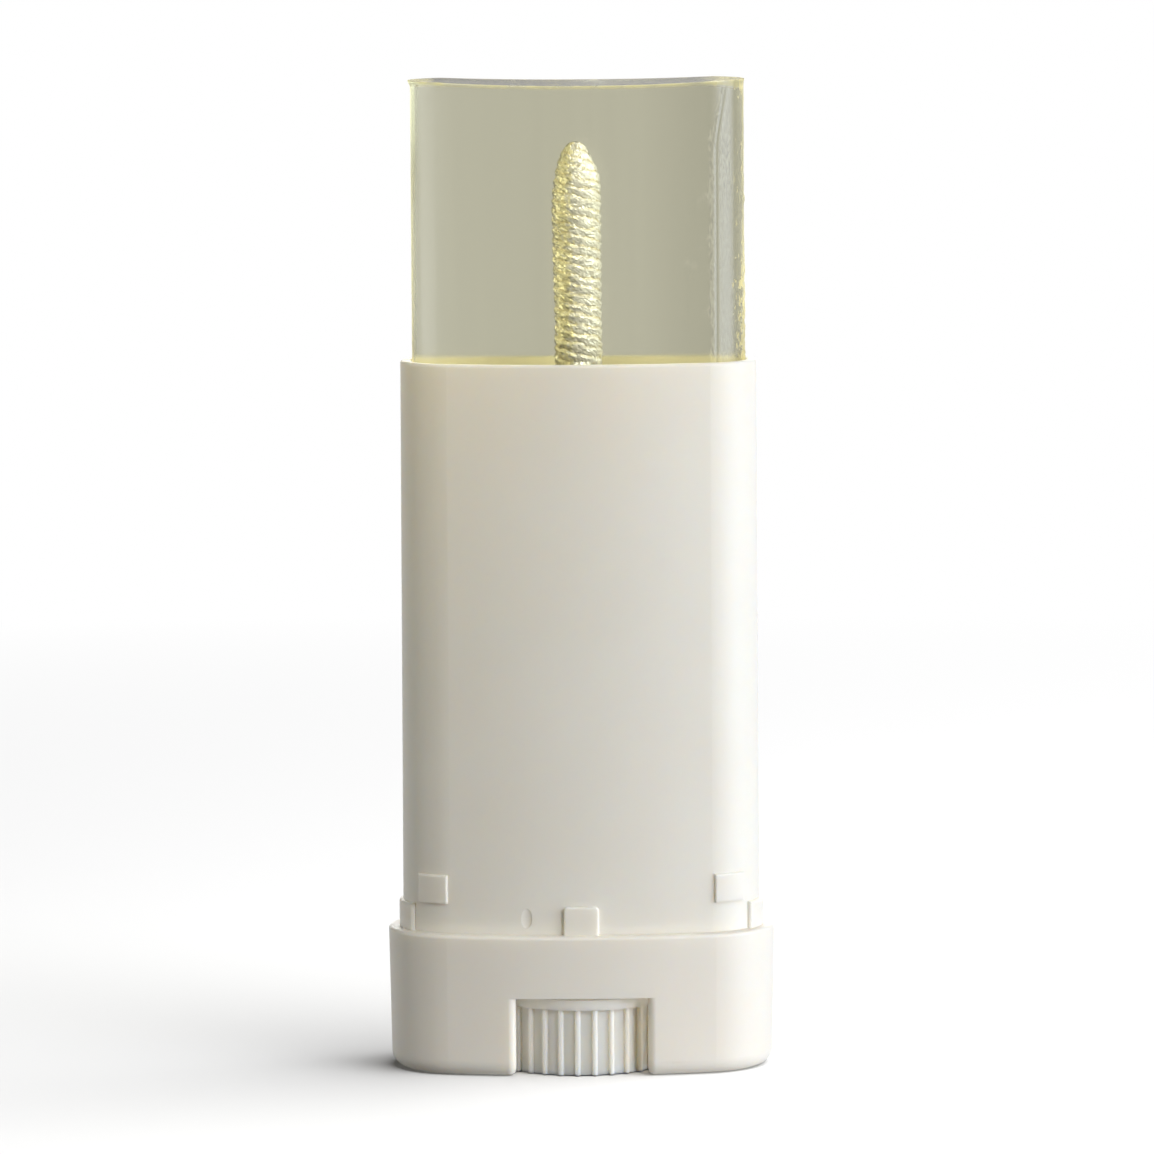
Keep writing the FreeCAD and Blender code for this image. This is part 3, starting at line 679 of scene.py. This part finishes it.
def side_shape(x, y, angle, z, top):
    """The wall: how far it stands out, how yellow and torn it is, its painted light and shade,
    and flecks.
    """
    drop = top - z
    right = from_side(angle, 0)
    left = from_side(angle, math.pi)
    edge_shift, right_yellow, fleck = right_edge(x, y, z, right, drop)
    groove_shift, torn, painted_light = right_shoulder(x, y, z, right, drop)
    left_shift, left_yellow, dim = left_edge(x, y, z, left, drop)
    if y < 0:
        wrinkled = hump(x, *WRINKLES) * smooth(drop, *WRINKLES_DROP)
        wrinkled *= 0.5 + grain3(x, y, z, 0.5, 71)
        torn = max(torn, WRINKLES_SHARE * wrinkled)

    # the lip: yellow, turned out a little, flecked at the upper right corner
    lip = 1 - smooth(drop, 0, LIP_HEIGHT)
    corner = hump(right, *LIP_CORNER)
    lip_yellow = 1 - smooth(drop - LIP_CORNER_DEPTH * corner, *LIP_YELLOW)
    lip_yellow *= 0.65 + 0.5 * grain3(x, y, z, 1.2, 41)
    fleck = max(fleck, corner * (1 - smooth(drop, *LIP_FLECKS)))
    out = LIP_OUT + LIP_OUT_LEFT * hump(left, 0, 60) + LIP_OUT_RIGHT * hump(right, 0, 70)
    shift = FACE_WAVES * grain3(x, y, z, 0.12) + edge_shift + groove_shift + left_shift
    shift += lip * out
    yellow = max(right_yellow, left_yellow, lip_yellow)
    return shift, yellow, torn, painted_light - dim, fleck


def held_share(y, height, rim):
    """1 in the milky band of painted light in the gel just under the rim at the back, 0
    elsewhere.
    """
    under = band(height, rim - HELD_DEPTH, rim - HELD_FULL, rim, rim + HELD_EDGE)
    return under * smooth(y, 0, HELD_BACK)


def wall_heights(bottom, rim, top):
    """Rows of the wall below its lip: coarse inside the tube, fine where it shows."""
    start = rim - HELD_DEPTH
    end = top - LIP_HEIGHT
    low = max(1, round((start - bottom) / LOW_ROW))
    seen = max(1, round((end - start) / VISIBLE_ROW))
    rows = [bottom + (start - bottom) * step / low for step in range(low)]
    rows += [start + (end - start) * step / seen for step in range(seen)]
    return rows


class Shell:
    """Faces and vertices with their looks, gathered for one mesh; lengths in millimetres."""

    def __init__(self):
        self.points = []
        self.faces = []
        self.tint = []
        self.values = {"haze": [], "torn": [], "foil": [], "fleck": []}

    def add(self, x, y, z, tint=GEL_CLEAR, rough=ROUGH_FACE, **looks):
        """A vertex with its tint, roughness and other looks; returns its index."""
        self.points.append((x * MM, y * MM, z * MM))
        self.tint += (*tint, rough)
        for name, values in self.values.items():
            values.append(looks.get(name, 0.0))
        return len(self.points) - 1

    def join_rings(self, lower, upper, flip=False):
        """Quads between two rings with the same count."""
        count = len(lower)
        for i in range(count):
            j = (i + 1) % count
            face = (lower[i], lower[j], upper[j], upper[i])
            self.faces.append(face[::-1] if flip else face)

    def join_rows(self, first, second):
        """Faces between two open rows that share an index at each end."""
        for i in range(len(first) - 1):
            face = [first[i], first[i + 1], second[i + 1], second[i]]
            face = tuple(dict.fromkeys(face))
            if len(face) > 2:
                self.faces.append(face)

    def build(self, name):
        """An object of this name with the gathered mesh."""
        mesh = bpy.data.meshes.new(name)
        mesh.from_pydata(self.points, [], self.faces)
        tint = mesh.attributes.new("tint", "FLOAT_COLOR", "POINT")
        tint.data.foreach_set("color", self.tint)
        for label, values in self.values.items():
            mesh.attributes.new(label, "FLOAT", "POINT").data.foreach_set("value", values)
        piece = bpy.data.objects.new(name, mesh)
        bpy.context.scene.collection.objects.link(piece)
        return piece


def face_outward(piece):
    """Turns a closed mesh's faces outward."""
    bm = bmesh.new()
    bm.from_mesh(piece.data)
    bmesh.ops.recalc_face_normals(bm, faces=bm.faces)
    if bm.calc_volume(signed=True) < 0:
        bmesh.ops.reverse_faces(bm, faces=bm.faces)
    bm.to_mesh(piece.data)
    bm.free()


def add_wall(shell, outline, bottom, rim, top):
    """The gel's outside, from the carrier to the top edge; returns its first and last ring."""
    angles = outline.angles()
    edge_levels = [top_level(outline.point(angle)[0], top) for angle in angles]
    first = previous = None
    rows = wall_heights(bottom, rim, top)
    lip = [(row + 1) / LIP_ROWS for row in range(LIP_ROWS)]
    start = top - TOP_DIP - LIP_HEIGHT
    rows = [z for z in rows if z < start]
    for z in rows + lip:
        ring = []
        for angle, level in zip(angles, edge_levels):
            height = z if z > 1 else start + (level - start) * z
            x, y = outline.point(angle)
            drop_top = level if height > rim else top
            shift, yellow, torn, painted_light, fleck = side_shape(x, y, angle, height, drop_top)
            x, y = outline.point(angle, shift)
            # painted light: the milky cream band at the back under the rim
            held = held_share(y, height, rim)
            haze = clamp(max(FROST_HAZE * yellow, HELD_HAZE * held))
            # painted light makes the clear tint paler; painted shade makes it and the yellow
            # darker
            clear = blend(GEL_CLEAR, GEL_PAINTED_LIGHT if painted_light > 0 else GEL_PAINTED_SHADE, abs(painted_light))
            yellow_in_shade = blend(GEL_YELLOW, GEL_YELLOW_IN_PAINTED_SHADE, -painted_light)
            tint = blend(blend(clear, GEL_HELD_PAINTED_LIGHT, held), yellow_in_shade, yellow)
            flat = smooth(abs(math.degrees(math.asin(math.cos(angle)))), *END_TO_FACE)
            rough = ROUGH_END + (ROUGH_FACE - ROUGH_END) * flat
            rough += (ROUGH_FROST - rough) * clamp(yellow)
            looks = {"haze": haze, "torn": torn, "fleck": fleck}
            ring.append(shell.add(x, y, height, tint, rough, **looks))
        if previous:
            shell.join_rings(previous, ring)
        first = first or ring
        previous = ring
    return first, previous


def add_top(shell, ring):
    """The hollow top surface, laid in lines across from the front edge to the back one."""
    half = len(ring) // 2
    front = ring[: half + 1]
    back = [ring[0]] + ring[:half - 1:-1]
    previous = front
    for step in range(1, TOP_STEPS):
        share = step / TOP_STEPS
        row = [front[0]]
        for i in range(1, half):
            a = Vector(shell.points[front[i]]) / MM
            b = Vector(shell.points[back[i]]) / MM
            x, y, z = a.lerp(b, share)
            z_top = z - TOP_SAG * math.sin(math.pi * share)
            corner = smooth(x, *TOP_CORNER_RIGHT) + smooth(-x, *TOP_CORNER_LEFT)
            yellow = corner * (0.8 + 0.6 * grain3(x, y, z, 2.2, 51))
            tint = blend(GEL_TOP, GEL_YELLOW, yellow)
            haze = clamp(FROST_TOP * yellow)
            row.append(shell.add(x, y, z_top, tint, ROUGH_TOP, haze=haze, torn=corner))
        row.append(front[-1])
        shell.join_rows(previous, row)
        previous = row
    shell.join_rows(previous, back)


def bore_share(height, tip):
    """The bore's width at a height, 1 on its straight part and closing to 0 at the tip."""
    rise = max(0.0, 1 - (tip - height) / BORE_TIP_LENGTH)
    return max(0.0, 1 - rise**2) ** BORE_TIP_POWER


def spindle_share(height, tip):
    """The width of the spindle's bullet tip when it is all the way up in the bore."""
    rise = max(0.0, 1 - (tip - SPINDLE_GAP - height) / SPINDLE_TIP)
    bend = (1 + (SPINDLE_TIP / SPINDLE_RADIUS) ** 2) / 2
    if rise >= 1:
        return 0.0
    return 1 - bend + math.sqrt(bend**2 - (rise * SPINDLE_TIP / SPINDLE_RADIUS) ** 2)


def round_grain(along, across, z, turn_scale, rise_scale):
    """Signed noise round the bore, for a direction and a height."""
    return noise.noise(Vector((along * turn_scale, across * turn_scale, z * rise_scale)))


def bore_look(facing, wave, tear, chance):
    """Tint and haze: painted highlights on facets to the right, silver in the middle, painted
    yellow reflection on the left.
    """
    # painted reflection: the bore's left side turns yellow
    yellow = smooth(-facing + 0.6 * tear, *BORE_LEFT)
    tint = blend(BORE_GREY, BORE_YELLOW, yellow)
    haze = BORE_HAZE + 0.4 * (chance - 0.5)
    # painted shade: darker yellow lines along the crests, stronger towards the sides
    line = hump(wave, *CREST_LINE_ABOVE) + hump(wave, *CREST_LINE_BELOW)
    tint = blend(tint, BORE_SHADE_LINE, line * (0.5 + 0.5 * abs(facing)))

    # painted highlight: facets facing the right turn white, and painted glints here and there
    lit = facing + 0.4 * tear
    reach = FACET_WIDTH[0] + FACET_WIDTH[1] * smooth(lit, *FACET_WIDENS)
    white = smooth(lit, *FACET_STARTS) * (1 - smooth(abs(wave - 0.5), 0.75 * reach, reach))
    glint = smooth(chance, *GLINT_CHANCE) * smooth(facing, *GLINT_FACING)
    tint = blend(tint, BORE_PAINTED_HIGHLIGHT, white + glint)
    haze += (BORE_BRIGHT - haze) * white

    # painted shade: dark gaps at the bore's left edge and dark pits on its yellow side
    gap_shade = smooth(-facing, *GAP_SHADE_FACING) * hump(wave, *GAP_SHADE_WAVE)
    pit_shade = SHADED_PIT_DARKNESS * smooth(SHADED_PIT_CHANCE - chance, 0, SHADED_PIT_CHANCE / 2) * yellow
    return blend(tint, BORE_PAINTED_SHADE, gap_shade + pit_shade), clamp(haze)


def bore_heights(bottom, rim, tip):
    """Rows of the bore: coarse inside the tube, fine where it shows, closest at the tip."""
    low = round((rim - bottom) / BORE_LOW_ROW)
    seen = round((tip - rim) / BORE_ROW)
    heights = [bottom + (rim - bottom) * step / low for step in range(low)]
    heights += [rim + (tip - rim) * step / seen for step in range(seen - 3)]
    last = tip - heights[-1]
    tip_steps = range(1, BORE_TIP_ROWS)
    return heights + [tip - last * (1 - step / BORE_TIP_ROWS) ** 2 for step in tip_steps]


def add_bore(shell, bottom, rim, tip):
    """The bore that the spindle leaves: left-hand ridges, torn a little, and a bullet tip."""
    first = previous = None
    for z in bore_heights(bottom, rim, tip):
        rise = smooth(z, rim, tip - BORE_LEAN_END)
        lean = BORE_LEAN_FOOT + (BORE_LEAN_TOP - BORE_LEAN_FOOT) * rise
        share = bore_share(z, tip)
        room = (SPINDLE_RADIUS + BORE_ROOM) * spindle_share(z, tip)
        ring = []
        for column in range(BORE_COLUMNS):
            jog = noise.cell_vector(Vector((column + 0.5, z / BORE_ROW, 7.5)))
            step = column + COLUMN_JITTER * (jog.x - 0.5)
            angle = TURN * step / BORE_COLUMNS
            along, across = math.cos(angle), math.sin(angle)
            tear = round_grain(along, across, z, *TEAR_GRAIN)
            wave = (z / THREAD_LEAD + angle / TURN) * THREAD_STARTS + TEAR_SHARE * tear
            wave %= 1
            groove = min(wave / BORE_LONG_FLANK, (1 - wave) / (1 - BORE_LONG_FLANK))
            rough = round_grain(along, across, z, *ROUGH_GRAIN)
            relief = BORE_DEPTH * groove + BORE_ROUGHNESS * rough + BORE_JITTER * jog.y
            radius = max(BORE_CREST * share, room - lean * along) + share * max(0.0, relief)
            height = z + (ROW_JITTER * BORE_ROW * (jog.z - 0.5) if first else 0)
            tint, haze = bore_look(along, wave, rough, jog.z)
            # painted shade: the bore darkens at its tip
            tint = blend(BORE_PAINTED_SHADE, tint, smooth(tip - z - 0.04 * jog.x, 0.0, 0.1))
            x, y = lean + radius * along, radius * across
            looks = {"haze": haze, "torn": BORE_TORN, "foil": BORE_FOIL}
            ring.append(shell.add(x, y, height, tint, ROUGH_BORE, **looks))
        if previous:
            shell.join_rings(previous, ring, flip=True)
        first = first or ring
        previous = ring
    # the apex is painted shade too
    apex = shell.add(BORE_LEAN_TOP, 0, tip, BORE_PAINTED_SHADE, haze=BORE_BRIGHT)
    for i in range(BORE_COLUMNS):
        shell.faces.append((previous[i], apex, previous[(i + 1) % BORE_COLUMNS]))
    return first


def close_bottom(piece, outer, inner):
    """Fills the gel's flat bottom between its outline and the mouth of the bore."""
    bm = bmesh.new()
    bm.from_mesh(piece.data)
    bm.verts.ensure_lookup_table()
    edges = []
    for ring in (outer, inner):
        for i, index in enumerate(ring):
            a = bm.verts[index]
            b = bm.verts[ring[(i + 1) % len(ring)]]
            edges.append(bm.edges.get((a, b)))
    bmesh.ops.triangle_fill(bm, use_beauty=True, edges=edges)
    bm.to_mesh(piece.data)
    bm.free()
    face_outward(piece)


def make_gel(rim):
    """The block of gel, standing for the plain CAD one."""
    low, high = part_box("gel")
    outline = Outline(high.x / MM, high.y / MM, GEL_END_RADIUS)
    bottom, top = low.z / MM, high.z / MM
    shell = Shell()
    outer, edge = add_wall(shell, outline, bottom, rim, top)
    add_top(shell, edge)
    inner = add_bore(shell, bottom, rim, top - BORE_CLOSED)
    piece = shell.build("gel_block")
    close_bottom(piece, outer, inner)
    bore_start = inner[0]
    for face in piece.data.polygons:
        face.use_smooth = min(face.vertices) < bore_start
    piece.data.materials.append(gel_material("clear_gel"))
    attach(piece, "carrier")
    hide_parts("gel")
    return piece


# ---------------------------------------------------------------- thread on the spindle
def make_thread():
    """Three left-hand ridges round the spindle."""
    bottom, top = THREAD_FROM, THREAD_TO
    shell = Shell()
    steps = round((top - bottom) / THREAD_LEAD * RIDGE_TURN_STEPS)
    profile = (
        (RIDGE_ROOT, -RIDGE_HALF_WIDTH),
        (RIDGE_HEIGHT, -RIDGE_FLAT),
        (RIDGE_HEIGHT, RIDGE_FLAT),
        (RIDGE_ROOT, RIDGE_HALF_WIDTH),
    )
    for start in range(THREAD_STARTS):
        previous = None
        for step in range(steps + 1):
            share = step / steps
            angle = -TURN * (share * (top - bottom) / THREAD_LEAD + start / THREAD_STARTS)
            fade = min(1.0, share * RIDGE_FADE, (1 - share) * RIDGE_FADE)
            ring = []
            for out, up in profile:
                radius = SPINDLE_RADIUS + (out if out < 0 else out * fade)
                z = bottom + (top - bottom) * share + up
                x, y = radius * math.cos(angle), radius * math.sin(angle)
                ring.append(shell.add(x, y, z))
            if previous:
                shell.join_rings(previous, ring)
            else:
                shell.faces.append(tuple(ring))
            previous = ring
        shell.faces.append(tuple(reversed(previous)))
    piece = shell.build("spindle_thread")
    face_outward(piece)
    piece.data.materials.append(plastic_material("wheel_plastic_thread", *PLAIN_MILKY))
    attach(piece, "wheel_spindle")
    return piece


# ---------------------------------------------------------------- studio
FLOOR_PAPER = (0.8, 0.8, 0.8)
FLOOR_BOUNCE = (0.02, 0.02, 0.02)
FLOOR_FADE = (0.15, 0.4)
# painted shadow: how dim the far floor looks to the left through glass, and where it dims
FLOOR_LEFT_PAINTED_SHADE = 0.88
FLOOR_LEFT_PAINTED_SHADE_SIDE = (-0.18, -0.09)
FLOOR_SIZE = 8.0
SKY_STRENGTH = 0.0
SKY_FALL = 0.6

WHITE = (1.0, 1.0, 1.0)
COOL = (0.97, 0.98, 1.0)
WARM = (1.0, 0.93, 0.84)
KEY_WHITE = (1.0, 0.98, 1.0)
SKY_BLUE = (0.72, 0.82, 1.0)
AMBER = (1.0, 0.83, 0.2)
FOOT = Vector((0, 0, 0))
WHEEL = Vector((0, 0, 0.006))
MIDDLE = Vector((0, 0, 0.05))
UPPER_LEFT = Vector((-0.012, -0.006, 0.078))

# name, lights, is shaded by, bearing, height, distance, size, watts, colour, aimed at
LAMPS = (
    ("key", "plastic", "all", 38, 14, 1.2, (0.22, 0.5), 7.15, KEY_WHITE, MIDDLE),
    ("right_box", "plastic", "all", 60, 30, 0.8, (0.7, 0.7), 3.6, WHITE, MIDDLE),
    ("side_box", "not_floor", "not_floor", 77, 5, 0.9, (0.62, 0.65), 4.85, SKY_BLUE, MIDDLE),
    ("left_panel", "plastic", "all", -82, 8, 0.9, (0.75, 0.7), 4.3, COOL, MIDDLE),
    ("back_fill", "plastic", "all", 180, 12, 1.2, (0.8, 0.6), 6.0, WHITE, MIDDLE),
    ("gel_box", "gel", "all", 62, 40, 0.8, (0.5, 0.5), 9.2, WHITE, MIDDLE),
    ("gel_fill", "gel", "all", -25, 42, 0.8, (0.5, 0.5), 4.9, WHITE, MIDDLE),
    ("left_edge", "gel", "all", -42, 8, 1.0, (0.4, 0.7), 0.55, COOL, MIDDLE),
    ("gel_left", "gel", "not_floor", -82, -10, 0.9, (0.75, 0.3), 1.9, COOL, MIDDLE),
    ("gel_back", "gel", "all", 160, 45, 0.8, (0.3, 0.3), 3.5, WHITE, MIDDLE),
    ("gel_glow", "barrel", "all", -40, 10, 0.07, (0.02, 0.03), 0.006, AMBER, UPPER_LEFT),
    ("foot_bounce", "barrel", "not_floor", 90, -70, 0.022, (0.07, 0.045), 0.006, WHITE, FOOT),
    ("through_left", "wheel", "not_barrel", -70, 5, 0.6, (0.4, 0.4), 1.3, WARM, WHEEL),
    ("through_right", "wheel", "not_barrel", 105, 5, 0.6, (0.4, 0.4), 3.5, WARM, WHEEL),
    ("floor_box", "floor", "all", 80, 60, 0.9, (1.2, 1.2), 20.6, WHITE, MIDDLE),
)


def make_floor():
    """A wide white floor under the stick."""
    size = FLOOR_SIZE
    mesh = bpy.data.meshes.new("studio_floor")
    corners = [(-size, -size, 0), (size, -size, 0), (size, size, 0), (-size, size, 0)]
    mesh.from_pydata(corners, [], [(0, 1, 2, 3)])
    floor = bpy.data.objects.new("studio_floor", mesh)
    bpy.context.scene.collection.objects.link(floor)
    mesh.materials.append(floor_material())
    return floor


def make_world():
    """White where it is seen, dim where it only fills."""
    world = bpy.data.worlds.new("studio")
    bpy.context.scene.world = world
    world.use_nodes = True
    nodes, links = world.node_tree.nodes, world.node_tree.links
    nodes.clear()
    sky = add_node(nodes, "ShaderNodeBackground", Color=(1, 1, 1, 1))
    seen = studio_ray(nodes, links)
    split = nodes.new("ShaderNodeSeparateXYZ")
    links.new(nodes.new("ShaderNodeTexCoord").outputs["Generated"], split.inputs[0])
    fall = ramp(nodes, links, split.outputs["Z"], 0.0, 0.09, 0, SKY_FALL)
    gloss = nodes.new("ShaderNodeLightPath").outputs["Is Glossy Ray"]
    drop = math_node(nodes, links, "MULTIPLY", fall, gloss)
    level = math_node(nodes, links, "SUBTRACT", seen, drop)
    links.new(ramp(nodes, links, level, 0, 1, SKY_STRENGTH, 1), sky.inputs["Strength"])
    output = nodes.new("ShaderNodeOutputWorld")
    links.new(sky.outputs["Background"], output.inputs["Surface"])


def add_lamp(name, bearing, height, distance, size, power, colour, aim):
    """A rectangular soft light, bearing degrees to the camera's right, height degrees up."""
    lamp = bpy.data.lights.new(name, "AREA")
    lamp.shape = "RECTANGLE"
    lamp.size, lamp.size_y = size
    lamp.energy = power
    lamp.color = colour
    holder = bpy.data.objects.new(name, lamp)
    bpy.context.scene.collection.objects.link(holder)
    turn, lift = math.radians(bearing), math.radians(height)
    level = math.cos(lift)
    away = Vector((math.sin(turn) * level, -math.cos(turn) * level, math.sin(lift)))
    holder.location = aim + away * distance
    holder.rotation_mode = "QUATERNION"
    holder.rotation_quaternion = away.to_track_quat("Z", "Y")
    return holder


def light_group(name, pieces, state):
    """A collection for light linking that takes in these objects, or leaves them out."""
    group = bpy.data.collections.new(name)
    for piece in pieces:
        group.objects.link(piece)
    for entry in group.collection_objects:
        entry.light_linking.link_state = state
    return group


def make_lights(floor, barrel, wheel, gel):
    """The lamps of the table, each lighting and shaded by what its row says."""
    groups = {
        "all": None,
        "plastic": light_group("all_but_floor_and_gel", (floor, gel), "EXCLUDE"),
        "not_floor": light_group("all_but_floor", (floor,), "EXCLUDE"),
        "not_barrel": light_group("all_but_barrel", (barrel,), "EXCLUDE"),
        "gel": light_group("gel_alone", (gel,), "INCLUDE"),
        "barrel": light_group("barrel_alone", (barrel,), "INCLUDE"),
        "wheel": light_group("wheel_alone", (wheel,), "INCLUDE"),
        "floor": light_group("floor_alone", (floor,), "INCLUDE"),
    }
    for name, lit, blocking, *placing in LAMPS:
        lamp = add_lamp(name, *placing)
        lamp.light_linking.receiver_collection = groups[lit]
        lamp.light_linking.blocker_collection = groups[blocking]


def make_camera():
    """The photographed view: from the front, a little above, through a long lens."""
    lens = bpy.data.cameras.new("camera")
    lens.lens = VIEW_LENS
    lens.sensor_width = SENSOR_WIDTH
    lens.clip_start, lens.clip_end = 0.05, 50
    camera = bpy.data.objects.new("camera", lens)
    bpy.context.scene.collection.objects.link(camera)
    back = Vector((0, -math.cos(VIEW_PITCH), math.sin(VIEW_PITCH)))
    camera.location = VIEW_AIM + back * VIEW_DISTANCE
    camera.rotation_mode = "QUATERNION"
    level = back.to_track_quat("Z", "Y")
    camera.rotation_quaternion = level @ Quaternion((0, 0, 1), VIEW_ROLL)
    bpy.context.scene.camera = camera


def dress(node, material):
    """Gives a CAD node its material, in the slot it has."""
    if not node.material_slots:
        node.data.materials.append(material)
    for slot in node.material_slots:
        slot.material = material


# ---------------------------------------------------------------- scene
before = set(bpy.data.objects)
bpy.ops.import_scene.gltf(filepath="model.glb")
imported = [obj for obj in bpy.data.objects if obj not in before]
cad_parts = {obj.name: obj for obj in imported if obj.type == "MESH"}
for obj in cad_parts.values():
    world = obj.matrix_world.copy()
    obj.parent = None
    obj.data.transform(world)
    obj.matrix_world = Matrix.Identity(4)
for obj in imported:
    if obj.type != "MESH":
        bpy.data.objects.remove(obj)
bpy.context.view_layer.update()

barrel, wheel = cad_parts["barrel"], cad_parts["wheel_spindle"]
dress(barrel, plastic_material("barrel_plastic", *PLAIN_MILKY))
dress(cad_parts["carrier"], plastic_material("carrier_plastic", *PLAIN_MILKY))
dress(wheel, plastic_material("wheel_plastic", *WHEEL_MILKY))
gel_block = make_gel(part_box("barrel")[1].z / MM)
make_thread()
studio_floor = make_floor()
make_world()
make_lights(studio_floor, barrel, wheel, gel_block)
make_camera()
bpy.context.scene.view_settings.view_transform = "Standard"
